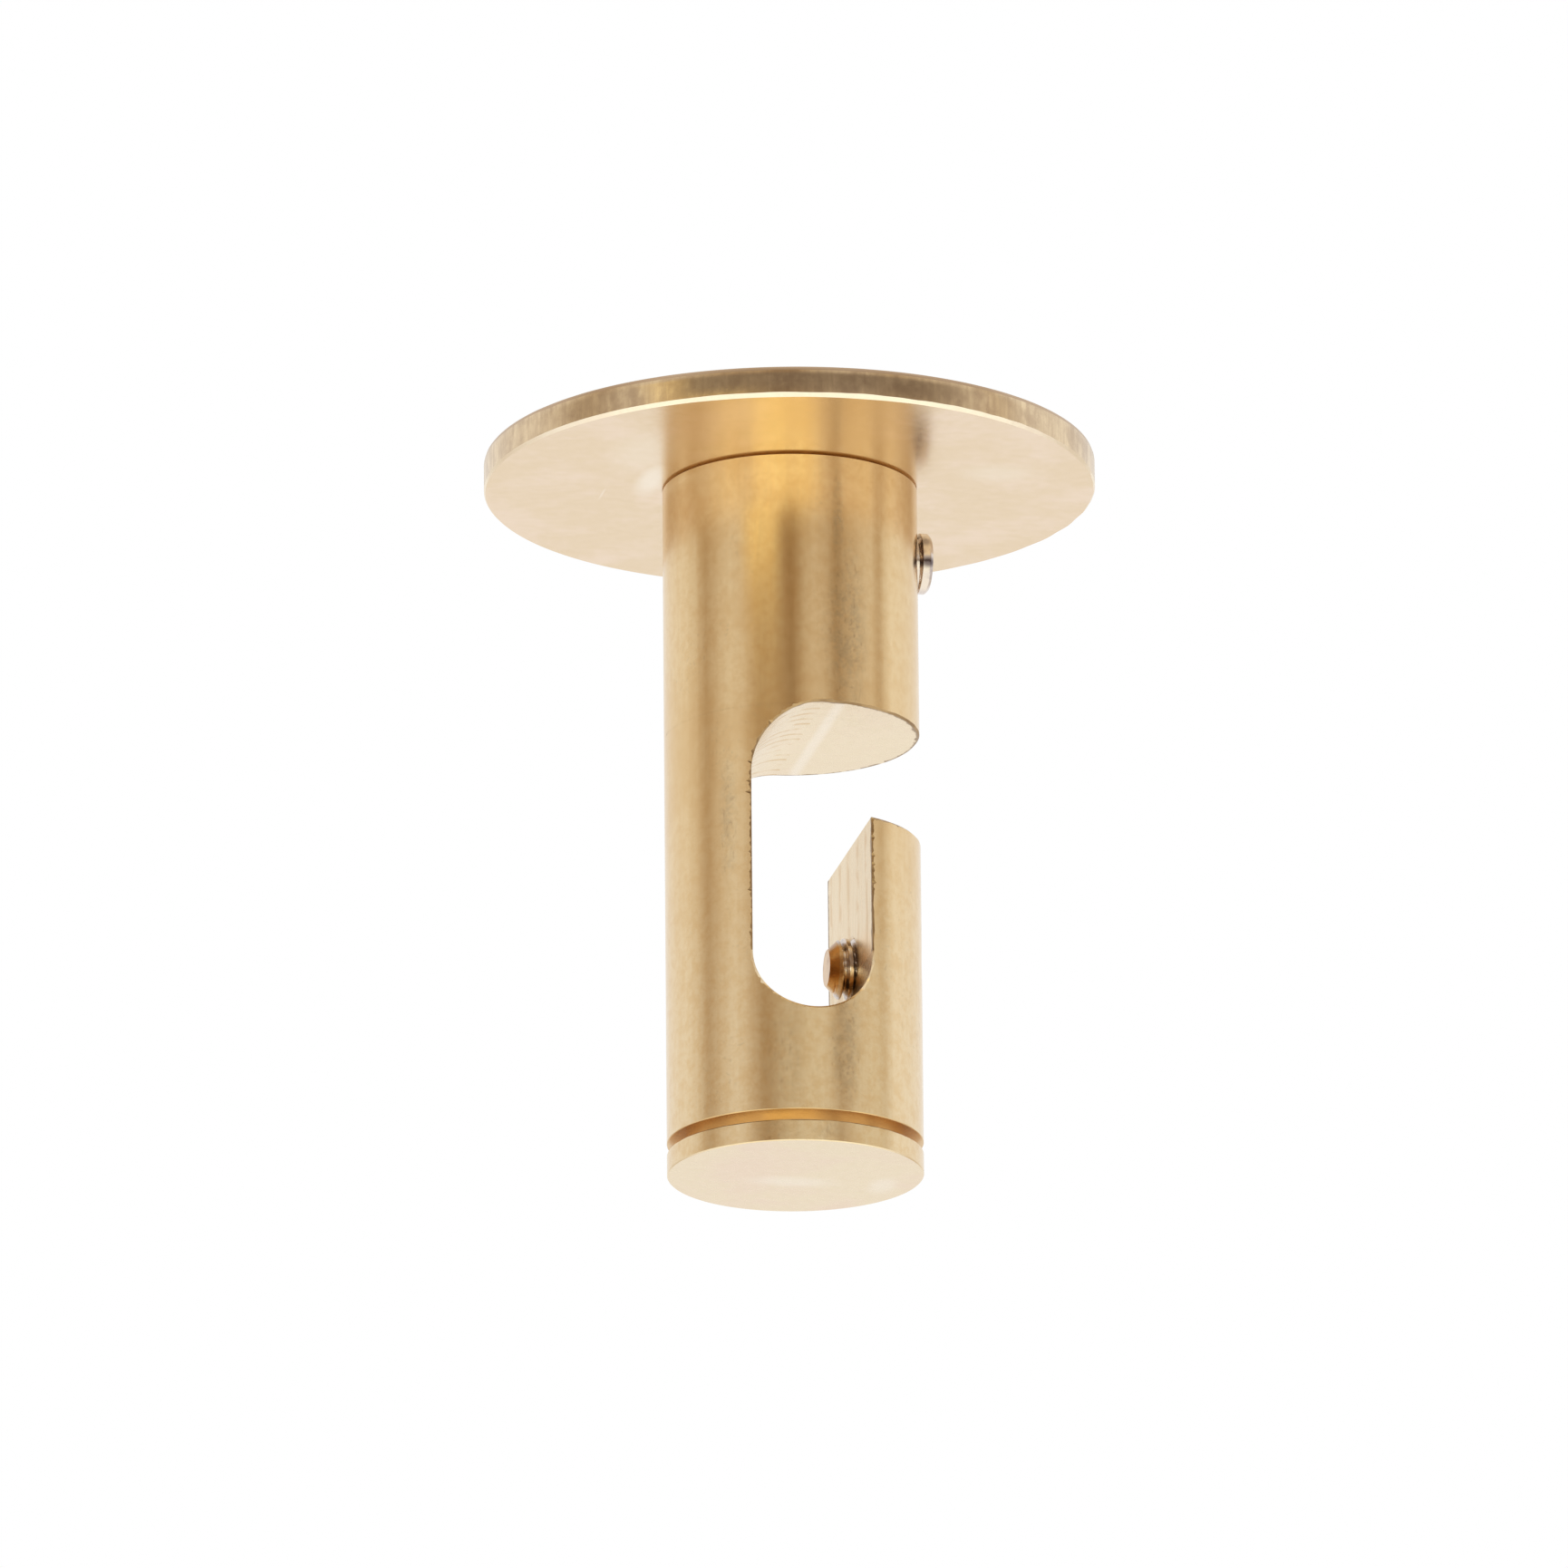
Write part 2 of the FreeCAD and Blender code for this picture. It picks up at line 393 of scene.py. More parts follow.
def brass(name, colour, roughness, marks=(1, 1, 1), mark_depth=0.0001, mark_tint=0.0, clouded=deep_brass,
          clouds=0.3, cloud_size=9.0, specks=0.1, grain=0.1, mottle=0.2, waviness=0.004, rings=0.0,
          stains=(), glints=(), painted_amber_reflections=(), lighter_below=None, edge_shade_beyond=None, feed=None):
    """Brass with tool marks. marks gives their size along x, y and z, and depths and sizes are in mm."""
    material, tree, shader, in_mm = metal(name)
    masks = place(tree, patina, {"Vector": in_mm, "Cloud Size": cloud_size, "Speck Size": speck_size})
    speck = times(tree, masks["Specks"], specks)
    drawn = {"Vector": in_mm, "Width": streak_width, "Length": streak_length}
    streak = place(tree, streaks, drawn)["Streak"]
    tool_marks = noise(tree, vector_calc(tree, "DIVIDE", in_mm, marks), 1.0, detail=4.0, roughness=0.6)
    fine = noise(tree, in_mm, fine_noise, detail=7.0, roughness=0.7)
    height = times(tree, noise(tree, in_mm, wave_noise, detail=1.0), waviness)
    height = calc(tree, "MULTIPLY_ADD", tool_marks, mark_depth, height)
    height = calc(tree, "MULTIPLY_ADD", streak, mark_depth * 2, height)

    skin = tint(tree, times(tree, masks["Cloud"], clouds), colour, clouded)
    spoiled = speck
    # The bar turns lighter towards its foot, below the given height.
    if lighter_below is not None:
        level = node(tree, "SeparateXYZ", {"Vector": in_mm}).outputs["Z"]
        toward_foot = step_up(tree, level, lighter_below + lighter_fade, lighter_below - lighter_fade)
        skin = tint(tree, toward_foot, skin, lighter_foot_brass)
    for mask, steps, strength in (
            (streak, streak_steps, grain), (fine, fine_steps, mottle), (tool_marks, mark_steps, mark_tint)):
        skin = tint(tree, step_up(tree, mask, *steps, 0.0, strength), skin, clouded)
    # Soft spots: painted reflection in amber, painted highlight in pale brass.
    for places, spot_colour in ((painted_amber_reflections, painted_reflection_amber), (glints, painted_glint_brass)):
        if places:
            skin = tint(tree, spots(tree, in_mm, places), skin, spot_colour)
    if stains:
        stained = spots(tree, in_mm, stains)
        stain = veined(tree, in_mm, stained)
        skin = tint(tree, stain, skin, olive_tarnish)
        skin = tint(tree, flecked(tree, in_mm, stained), skin, dirt_and_edge_shade)
        spoiled = calc(tree, "ADD", spoiled, stain)
    skin = tint(tree, speck, skin, olive_tarnish)
    if feed:
        line = feed_lines(tree, in_mm, feed)
        skin = tint(tree, times(tree, line, line_strength), skin, deep_brass)
        height = calc(tree, "MULTIPLY_ADD", line, -line_depth, height)
    # Painted shade: a dark line along the edge where a cut face meets the skin.
    if edge_shade_beyond:
        line = painted_edge_shade(tree, in_mm, edge_shade_beyond)
        skin = tint(tree, times(tree, line, line_strength), skin, dirt_and_edge_shade)
        spoiled = calc(tree, "ADD", spoiled, line)
    gloss = calc(tree, "MULTIPLY_ADD", spoiled, spoiled_gloss, roughness)
    gloss = calc(tree, "ADD", gloss, step_up(tree, tool_marks, *gloss_steps, *gloss_play))
    bump = node(tree, "Bump", {"Strength": 1.0, "Distance": MM, "Height": height})

    fill(tree, shader, {
        "Base Color": skin, "Roughness": gloss, "Normal": bump.outputs["Normal"],
        "Anisotropic": rings, "Anisotropic Rotation": upright_blur})
    return material


bar_stains = [
    ((3.2, -12.1, -21.0), (3.0, 3.0, 12.0), 0.5), ((2.4, -12.3, -10.0), (0.8, 0.8, 7.0), 0.6),
    ((-3.6, -12.0, -64.5), (3.0, 3.0, 8.0), 0.17), ((2.7, -12.2, -63.0), (2.2, 2.2, 9.0), 0.46),
    ((-4.6, -11.6, -72.0), (2.3, 2.3, 1.8), 0.30), ((0.8, -12.5, -72.0), (2.2, 2.2, 1.8), 0.22),
    ((-8.2, -9.4, -40.0), (1.4, 1.4, 9.0), 0.35), ((9.0, 8.7, -26.0), (3.0, 3.0, 6.0), 0.6),
    ((-6.0, 11.0, -55.0), (4.0, 4.0, 6.0), 0.5),
]
# Glints: pale spots painted on as highlights.
plate_glints = [
    ((-14.0, -1.5, -3.0), (2.0, 7.0, 1.0), 0.7), ((-16.0, -10.0, -3.0), (5.0, 9.0, 1.0), 0.3),
    ((19.0, -9.0, -3.0), (5.0, 4.0, 1.0), 0.3), ((-18.0, 3.8, -3.0), (0.15, 2.6, 1.0), 0.4),
]
ceiling_glints = [((2.5, 0.0, -28.4), (0.9, 40.0, 3.0), 0.6)]
end_glints = [((0.0, 2.0, -73.0), (6.0, 2.5, 1.0), 0.5), ((9.0, 2.0, -73.0), (2.0, 4.0, 1.0), 0.5)]

# Amber spots painted on as warm reflections of nearby brass, on the bar and on the lip's face.
bar_painted_amber_reflection = [((-2.43, -12.26, -17.0), (1.0, 1.0, 9.0), 0.25)]
lip_painted_amber_reflection = [((5.4, -6.5, -54.5), (2.5, 7.0, 6.0), 0.9)]

turned_bar = brass(
    "brass_bar", bright_brass, 0.187, (0.12, 0.12, 3.0), 0.0005, clouds=0.6, specks=0.3, grain=0.2,
    mottle=0.6, waviness=0.012, rings=0.74, stains=bar_stains, painted_amber_reflections=bar_painted_amber_reflection, lighter_below=-48)
milled_corner = brass("brass_corner", fresh_brass, 0.26, clouded=pink_brass, feed=1.7, edge_shade_beyond=12.15)
milled_ceiling = brass(
    "brass_ceiling", fresh_brass, 0.26, clouded=pink_brass, glints=ceiling_glints, edge_shade_beyond=12.15)
milled_lip = brass(
    "brass_lip", fresh_brass, 0.28, (0.6, 0.3, 4.0), 0.0003, clouded=bright_brass, grain=0.5,
    painted_amber_reflections=lip_painted_amber_reflection, feed=4.4, edge_shade_beyond=11.9)
# The slot's straight wall and the seat's lower half: milled, in a deep brass whose depth of colour is painted
# shade.
milled_wall_painted_shade = brass("brass_wall_painted_shade", deep_brass, 0.26, (6.0, 0.3, 6.0), 0.0004, feed=1.7)
faced_end = brass(
    "brass_faced", fresh_brass, 0.28, clouded=pink_brass, clouds=0.9, specks=0.05, glints=end_glints)
rolled_sheet = brass(
    "brass_sheet", sheet_brass, 0.22, clouded=pink_brass, clouds=0.8, specks=0.03, glints=plate_glints)
filed_rim = brass(
    "brass_rim", rim_brass, 0.22, (0.7, 0.7, 4.0), 0.0012, 0.4, clouded=rim_shade, clouds=0.7,
    cloud_size=2.2, specks=0.3, grain=0.3)
filed_edge = brass("brass_edge", fresh_brass, 0.24, (0.2, 0.2, 0.2), 0.001, clouds=0.4, specks=0.4)
# The plate's lower edge is paler than brass, which paints part of its highlight.
lower_edge_painted_highlight = brass("brass_lower_edge_painted_highlight", painted_highlight_brass, 0.24, (0.4, 0.4, 0.4), 0.001, clouded=pink_brass)
# The plate's upper edge band, whose dull dark colour is painted shade.
rim_top_painted_shade = brass(
    "brass_rim_top_painted_shade", painted_shade_rim_top_brass, 0.30, (1.5, 1.5, 0.4), 0.001, clouded=rim_shade, specks=0.3)
groove_skin = brass("brass_groove", groove_brass, 0.22, (2.0, 2.0, 0.1), 0.0003, specks=0.4)
# The post's top edge under the plate, darkened as painted shade.
seam_painted_shade = brass("brass_seam_painted_shade", painted_seam_shade_brass, 0.35)
# Painted shade: the dark finish of the slot's broken edges, apart from those of the seat.
slot_edge_painted_shade = brass("brass_slot_edge_painted_shade", dirt_and_edge_shade, 0.40, (0.2, 0.2, 0.2), 0.001, clouds=0.5)
print("brass finishes:", [m.name for m in bpy.data.materials if m.name.startswith("brass_")])

# %% [markdown]
# The set screws are plated steel, bright with cloudy dull patches. The point of each is amber brown, a
# painted reflection of the brass around it, and a dark painted reflection lies on the neck screw's side. The
# clouds come from the same patina group as on the brass, only smaller, and one function makes both finishes,
# because they differ in colour and smoothness alone.

# %% Screw steel
bright_steel = (0.74, 0.65, 0.58, 1)
dull_steel = (0.45, 0.38, 0.36, 1)
# Painted reflection: the amber brown of the screw points stands in for the brass they mirror.
painted_point_reflection_bright = (0.68, 0.45, 0.24, 1)
painted_point_reflection_dull = (0.48, 0.29, 0.16, 1)
# Painted reflection: dark spots on the neck screw's side stand in for a dark band it mirrors.
painted_dark_reflection = (0.10, 0.07, 0.08, 1)
neck_painted_dark_reflection = [((13.3, -2.9, -10.5), (1.4, 1.0, 0.8), 0.9), ((13.05, -2.6, -8.3), (0.8, 0.9, 0.8), 0.6)]
steel_clouds, steel_specks, dull_roughness = 2.0, 0.3, 0.28


def steel(name, bright, dull, smoothest, dark_reflection_spots=()):
    """Steel with clouds: where they are dense, it goes from bright to dull and gets rougher."""
    material, tree, shader, in_mm = metal(name)
    sizes = {"Vector": in_mm, "Cloud Size": steel_clouds, "Speck Size": steel_specks}
    cloud = place(tree, patina, sizes)["Cloud"]
    colour = tint(tree, cloud, bright, dull)
    # Dark spots of painted reflection.
    if dark_reflection_spots:
        colour = tint(tree, spots(tree, in_mm, dark_reflection_spots), colour, painted_dark_reflection)
    gloss = step_up(tree, cloud, 0.0, 1.0, smoothest, dull_roughness)
    fill(tree, shader, {"Base Color": colour, "Roughness": gloss})
    return material


screw_steel = steel("plated_steel", bright_steel, dull_steel, 0.20, neck_painted_dark_reflection)
point_painted_reflection = steel("steel_point_painted_reflection", painted_point_reflection_bright, painted_point_reflection_dull, 0.18)
print("steel finishes:", screw_steel.name, point_painted_reflection.name)

# %% [markdown]
# The ceiling plate is a disc cut from sheet, with both rim edges broken by a file. It is a profile carried
# round the axis. Each stretch of the profile is a patch of its own, so the rim, its filed edges and the flat
# faces can have different finishes. The upper edge is broken to a wider band, and its dull, darker colour is
# painted shade. The lower edge is paler, a painted highlight. The width of the lower one wanders, because a
# hand guided the file.

# %% Ceiling plate
plate_low, plate_high = node_box("ceiling_plate")
plate_radius = plate_high[0]
plate_top, plate_under = plate_high[2], plate_low[2]
least_rim_break, filed_rim_break, rim_break_play = 0.14, 0.24, 0.08
file_side, file_wave = math.radians(-100), 1.6
worn_band, worn_band_lean, worn_band_shift = 0.34, 0.36, 80
shank_radius = 4.0


def full_turn(steps):
    """Angles once round in equal steps, with the first repeated at the end."""
    return np.linspace(0, 2 * np.pi, steps + 1)


def revolved(radius, height, turns):
    """Surface of revolution about Z: a profile point (radius, height) goes round by the angles in turns."""
    return points_of(radius * np.cos(turns), radius * np.sin(turns), height)


def stretch(start, end, rows, turns):
    """Band of a surface of revolution between two profile points, in equal steps."""
    share = np.linspace(0, 1, rows + 1)[:, None]
    radius = start[0] + (end[0] - start[0]) * share
    height = start[1] + (end[1] - start[1]) * share
    return revolved(radius, height, turns)


def turned_bands(corners, rows, finishes, turns):
    """A patch for each stretch from one profile corner to the next."""
    return [
        patch(stretch(start, end, count, turns), finish)
        for start, end, count, finish in zip(corners, corners[1:], rows, finishes)
    ]


plate_turns = full_turn(240)
file_play = wander(plate_radius * np.cos(plate_turns), plate_radius * np.sin(plate_turns), file_wave)
file_play = file_play * np.cos(plate_turns / 2) ** 2
worn_play = np.roll(file_play[:-1], worn_band_shift)
upper_break = worn_band + rim_break_play * np.append(worn_play, worn_play[0])
filed_most = np.clip(np.cos(plate_turns - file_side), 0, 1)
lower_break = least_rim_break + filed_rim_break * filed_most + rim_break_play * file_play
plate_corners = [
    (shank_radius, plate_top),
    (plate_radius - worn_band_lean * upper_break, plate_top),
    (plate_radius, plate_top - upper_break),
    (plate_radius, plate_under + lower_break),
    (plate_radius - lower_break, plate_under),
    (shank_radius, plate_under),
]
SHEET, RIM, EDGE, LOWER_EDGE_HIGHLIGHT, BORE = range(5)
plate_rows = (12, 1, 4, 1, 12, 2)
plate_finishes = (SHEET, EDGE, RIM, LOWER_EDGE_HIGHLIGHT, SHEET, BORE)
plate_patches = turned_bands(plate_corners + plate_corners[:1], plate_rows, plate_finishes, plate_turns)
plate = closed_piece("plate_disc", plate_patches, [rolled_sheet, filed_rim, rim_top_painted_shade, lower_edge_painted_highlight, faced_end])

# %% [markdown]
# The set screws have a rolled metric thread, a coned point and a hexagon socket. The whole screw is one grid:
# rows run from the point's middle along the outside to the end face, then down the socket to its floor. The
# thread is a radius that depends on how far along and how far round a point is, which makes a true helix. Its
# last turn before the end face is left plain.

# %% Set screws
thread_pitch = 1.0
thread_root, thread_phase = 2.39, 0.32
flank_share, screw_root_flat = 0.5, 0.12
point_radius, point_length, painted_point_share = 1.8, 1.2, 0.7
end_break, end_land, run_out = 0.3, 1.2, 0.15
hex_half_width, hex_depth, hex_mouth = 1.5, 3.0, 0.12
screw_turns = full_turn(96)
rows_per_pitch = 18
STEEL, POINT = range(2)


def thread_height(turns, root_flat):
    """Thread, 0 at its root and 1 at its crest: a triangle wave cut flat at the root and at the crest."""
    wave = np.abs(2 * (turns % 1) - 1)
    return np.clip((wave - root_flat) / flank_share, 0, 1)


def set_screw(name, node_name):
    """Screw along +X that fills the box of a CAD node, its point at the low end."""
    low, high = node_box(node_name)
    length = high[0] - low[0]
    axis_height = (low[2] + high[2]) / 2
    screw_radius = (high[2] - low[2]) / 2

    along = np.linspace(0, length, int(length / thread_pitch * rows_per_pitch) + 1)[:, None]
    turns = thread_phase + (low[0] + along) / thread_pitch - screw_turns / (2 * np.pi)
    thread = thread_root + (screw_radius - thread_root) * thread_height(turns, screw_root_flat)
    cone = point_radius + (screw_radius - point_radius) * along / point_length
    chamfer = screw_radius - end_break + length - along
    plain_end = np.clip((along - length + end_land) / run_out, 0, 1) * (screw_radius - thread_root)
    body = np.minimum(np.minimum(np.maximum(thread, thread_root + plain_end), cone), chamfer)

    sixth = np.pi / 3
    hexagon = hex_half_width / np.cos((screw_turns - sixth / 2) % sixth - sixth / 2)
    nothing = np.zeros_like(hexagon)
    radius = np.concatenate([
        nothing[None], body, [hexagon + hex_mouth, hexagon, hexagon, nothing]])
    depths = [length, length - hex_mouth, length - hex_depth, length - hex_depth]
    distance = np.concatenate([[[0]], along, np.array(depths)[:, None]])
    grid = points_of(
        low[0] + distance, radius * np.cos(screw_turns), axis_height + radius * np.sin(screw_turns))
    cone_rows = 2 + int(point_length / thread_pitch * rows_per_pitch * painted_point_share)
    patches = [patch(grid[:cone_rows], POINT), patch(grid[cone_rows - 1:], STEEL)]
    return closed_piece(name, patches, [screw_steel, point_painted_reflection])


neck_screw = set_screw("neck_set_screw", "neck_screw")
lip_screw = set_screw("lip_set_screw", "lip_screw")

# %% [markdown]
# The post is a bar with a J-shaped slot milled through it: in at the side, round a corner, and down to a
# round seat for the rod. Cutting it with a Boolean would leave long thin triangles that mirror badly, so its
# skin is laid out as patches that end exactly on the slot's outline. First comes that outline, seen from the
# front, as a left run from the slot's ceiling down to the seat and a right run from the seat up to the lip.

# %% Slot outline
post_low, post_high = node_box("hook_post")
post_radius = post_high[0]
post_top, post_foot = post_high[2], post_low[2]
neck_height, mouth_height, lip_height = 25.4, 11.1, 14.0
slot_width, slot_offset, corner_radius = 11.8, -0.25, 7.0
edge_break, edge_play, nick_depth, mouth_wear = 0.18, 0.13, 0.75, 0.5
edge_wave, edge_stretch, nick_wave, nick_stretch, nick_level = 0.3, 3, 0.37, 2.3, 0.45

seat_radius = slot_width / 2
slot_ceiling = post_top - neck_height
lip_top = slot_ceiling - mouth_height
seat_centre = lip_top - lip_height
slot_left = slot_offset - seat_radius
lip_face = slot_offset + seat_radius
corner_x = slot_left + corner_radius
corner_z = slot_ceiling - corner_radius
neck_axis, lip_axis = (sum(node_box(screw))[2] / 2 for screw in ("neck_screw", "lip_screw"))

block_half = 4.0
corner_rows, wall_rows, seat_rows, low_rows, rise_rows = 44, 80, 30, 18, 36
block_cols, near_cols, far_cols, spine_cols = 12, 12, 12, 84
block_steps = np.linspace(-block_half, block_half, block_cols + 1)


def edge_width(x, z, share=1.0):
    """Width of the broken edge at a point of the outline: a share of it wanders and has nicks."""
    nick = np.clip(wander(z * nick_stretch, x, nick_wave) - nick_level, 0, 1)
    play = edge_play * wander(x * edge_stretch, z, edge_wave)
    return edge_break + share * (play + nick_depth * nick)


def left_run():
    """Outline (x, z) and its direction into the metal, down the corner, the wall and half the seat."""
    corner = np.linspace(np.pi / 2, np.pi, corner_rows + 1)
    wall = np.linspace(corner_z, seat_centre, wall_rows + 1)[1:-1]
    seat = np.linspace(np.pi, 1.5 * np.pi, seat_rows + 1)
    x = np.concatenate([
        corner_x + corner_radius * np.cos(corner), np.full(wall.shape, slot_left),
        slot_offset + seat_radius * np.cos(seat)])
    z = np.concatenate([
        corner_z + corner_radius * np.sin(corner), wall, seat_centre + seat_radius * np.sin(seat)])
    into = np.concatenate([corner, np.full(wall.shape, np.pi), seat])
    return x, z, np.cos(into), np.sin(into)


def lip_surface(y, z):
    """x of the slot's right side: the lip's flat face, and the seat's arc below it."""
    dip = np.minimum(z - seat_centre, 0)
    return slot_offset + np.sqrt(np.maximum(seat_radius ** 2 - dip ** 2, 0)) + 0 * y


def right_run():
    """Outline (x, z) and its direction into the metal, up the other half of the seat and the lip's face."""
    block_low = math.asin((lip_axis - block_half - seat_centre) / seat_radius)
    seat = seat_centre + seat_radius * np.sin(np.linspace(-np.pi / 2, block_low, low_rows + 1))
    rise = np.linspace(lip_axis + block_half, lip_top, rise_rows + 1)
    z = np.concatenate([seat[:-1], lip_axis + block_steps, rise[1:]])
    x = lip_surface(0, z)
    into_z = np.minimum(z - seat_centre, 0) / seat_radius
    into_z[-1] = -1
    return x, z, (x - slot_offset) / seat_radius, into_z


def with_skin(x, z, into_x, into_z):
    """An outline, and the same moved into the metal by the width of its broken edge."""
    width = edge_width(x, z, np.abs(into_x))
    return x, z, x + width * into_x, z + width * into_z


left_x, left_z, left_skin_x, left_skin_z = with_skin(*left_run())
right_x, right_z, right_skin_x, right_skin_z = with_skin(*right_run())
print(f"slot: {len(left_x)} points down the left, {len(right_x)} up the right")

# %% [markdown]
# The bar's skin is a cylinder, so a point on it needs only an angle and a height. The front sector faces the
# slot's mouth and the spine is the rest. Their shared border follows the outline: at each height, its angle
# is the arc cosine of the outline's x over the radius. In the front sector a square block of quads is left
# out round each tapped hole, and filled later by a ring that goes from the square to the circle.

# %% Post skin
def columns(block, half, count):
    """Places across a grid: the hole's block in the middle, and even steps out to half on both sides."""
    half = np.atleast_1d(half)[:, None]
    block = np.broadcast_to(block, (len(half), block_cols + 1))
    reach = block[:, -1:] + (half - block[:, -1:]) * np.linspace(0, 1, count + 1)[1:]
    return np.concatenate([-reach[:, ::-1], block, reach], axis=1)


def front_columns(half_angle, radius):
    """Angles across the front, with even steps in y over the hole's block."""
    return columns(np.arcsin(block_steps / radius), half_angle, near_cols + far_cols)


def spine_columns(half_angle):
    """Angles round the back, from half_angle to the same angle on the other side."""
    half_angle = np.atleast_1d(half_angle)[:, None]
    return half_angle + (2 * np.pi - 2 * half_angle) * np.linspace(0, 1, spine_cols + 1)


def full_ring(half_angle, radius):
    """Angles once round: those of the front and then those of the spine."""
    return np.concatenate([front_columns(half_angle, radius)[0], spine_columns(half_angle)[0, 1:]])


def rows_past(axis, low, rows_below, high, rows_above):
    """Heights from low to high, with even steps over the block round a hole's axis."""
    below = np.linspace(low, axis - block_half, rows_below + 1)
    above = np.linspace(axis + block_half, high, rows_above + 1)
    return np.concatenate([below[:-1], axis + block_steps, above[1:]])[:, None]


def without_block(grid, first_row, first_col):
    """Mask of a grid's quads that leaves out the square block round a hole."""
    keep = np.ones((grid.shape[0] - 1, grid.shape[1] - 1), bool)
    keep[first_row:first_row + block_cols, first_col:first_col + block_cols] = False
    return keep


BAR, CORNER, CEILING, LIP, SHADED_WALL, FACED, FILED, SHADED_EDGE, GROOVE, SEAM_SHADE = range(10)
top_break = 0.22
side_cols = near_cols + far_cols
neck_low_rows, neck_high_rows = 24, 6

neck_half = math.acos(corner_x / post_radius)
neck_z = rows_past(neck_axis, left_skin_z[0], neck_low_rows, post_top - top_break, neck_high_rows)
neck_front = revolved(post_radius, neck_z, front_columns(neck_half, post_radius))
mouth_x = neck_front[0, 1:-1, 0]
neck_front[0, 1:-1, 2] = slot_ceiling + edge_width(mouth_x, slot_ceiling, mouth_wear)
neck_spine = revolved(post_radius, neck_z, spine_columns(neck_half))
spine_angles = spine_columns(np.arccos(left_skin_x / post_radius))
slot_spine = revolved(post_radius, left_skin_z[:, None], spine_angles)
lean = np.linspace(0, 1, side_cols + 1)[1:]
lean = np.concatenate([lean[::-1], np.zeros(block_cols + 1), lean])
lip_z = right_z[:, None] + (right_skin_z - right_z)[:, None] * lean
lip_z[0] = right_skin_z[0]
lip_angles = front_columns(np.arccos(right_skin_x / post_radius), post_radius)
lip_front = revolved(post_radius, lip_z, lip_angles)
lip_front[-1, 1:-1, 2] = lip_top - edge_width(lip_front[-1, 1:-1, 0], lip_top, mouth_wear)

lip_block_row = int(np.argmin(np.abs(right_z - (lip_axis - block_half))))
skin_patches = [
    patch(neck_front, BAR, without_block(neck_front, neck_low_rows, side_cols)),
    patch(neck_spine, BAR),
    patch(slot_spine, BAR),
    patch(lip_front, BAR, without_block(lip_front, lip_block_row, side_cols)),
]
print(f"skin: {sum(int(keep.sum()) for _, _, keep in skin_patches)} quads")

# %% [markdown]
# The slot's walls are ruled surfaces: the outline is carried straight through the bar along Y. The flat
# ceiling and the lip's top are half discs. A half disc made of strips would pinch at its tip, so each is a
# Coons patch: four border curves, and every inner point is blended from the points straight across from it.

# %% Slot walls
inner_radius = post_radius - edge_break


def wall_columns(half_width):
    """y across the slot's wall, out to half_width on both sides."""
    return columns(block_steps, half_width, near_cols)


def wall(x, z):
    """Ruled wall: the outline's points (x, z) carried along Y to just inside the bar's skin."""
    return points_of(x[:, None], wall_columns(np.sqrt(inner_radius ** 2 - x ** 2)), z[:, None])


def half_disc(chord_x, z):
    """Coons patch between a chord of the bar's section and the arc in front of it, with the arc's points."""
    angles = front_columns(math.acos(chord_x / inner_radius), inner_radius)[0]
    arc = revolved(inner_radius, z, angles)
    chord = points_of(chord_x, wall_columns(math.sqrt(inner_radius ** 2 - chord_x ** 2))[0], z)
    front, low_side, high_side = arc[far_cols:-far_cols], arc[:far_cols + 1], arc[::-1][:far_cols + 1]
    u = np.linspace(0, 1, len(chord))[None, :, None]
    v = np.linspace(0, 1, far_cols + 1)[:, None, None]
    along_chord = (1 - v) * chord[None] + v * front[None]
    along_sides = (1 - u) * low_side[:, None] + u * high_side[:, None]
    corners = (1 - v) * ((1 - u) * chord[0] + u * chord[-1]) + v * ((1 - u) * front[0] + u * front[-1])
    return along_chord + along_sides - corners, arc


left_wall, right_wall = wall(left_x, left_z), wall(right_x, right_z)
ceiling_face, ceiling_arc = half_disc(corner_x, slot_ceiling)
lip_end_face, lip_end_arc = half_disc(lip_face, lip_top)
left_seat = int(np.argmax(left_z <= seat_centre))
right_seat = int(np.argmax(right_z >= seat_centre))
round_hole = without_block(right_wall, lip_block_row, near_cols)
wall_patches = [
    patch(left_wall[:corner_rows + 1], CORNER),
    patch(left_wall[corner_rows:], SHADED_WALL),
    patch(right_wall[:right_seat + 1], SHADED_WALL, round_hole[:right_seat]),
    patch(right_wall[right_seat:], LIP, round_hole[right_seat:]),
    patch(ceiling_face, CEILING),
    patch(lip_end_face, LIP),
]


def border_strip(skin_points, wall_points, finish):
    """Narrow strip that joins a row of skin points to the row of wall points beside it: the broken edge."""
    return patch(np.stack([skin_points, wall_points]), finish)


# The slot's broken edges: those of the seat stay bright, and the rest take the painted-shade finish.
edge_patches = [
    border_strip(neck_front[0], ceiling_arc, SHADED_EDGE),
    border_strip(lip_front[-1], lip_end_arc, SHADED_EDGE),
]
for skin_col, wall_col in ((0, -1), (-1, 0)):
    left_skin, left_edge = slot_spine[:, skin_col], left_wall[:, wall_col]
    right_skin, right_edge = lip_front[:, wall_col], right_wall[:, wall_col]
    edge_patches += [
        border_strip(left_skin[:left_seat + 1], left_edge[:left_seat + 1], SHADED_EDGE),
        border_strip(left_skin[left_seat:], left_edge[left_seat:], FILED),
        border_strip(right_skin[:right_seat + 1], right_edge[:right_seat + 1], FILED),
        border_strip(right_skin[right_seat:], right_edge[right_seat:], SHADED_EDGE),
    ]
print(f"walls: {len(wall_patches)} faces of the slot, {len(edge_patches)} broken edges")

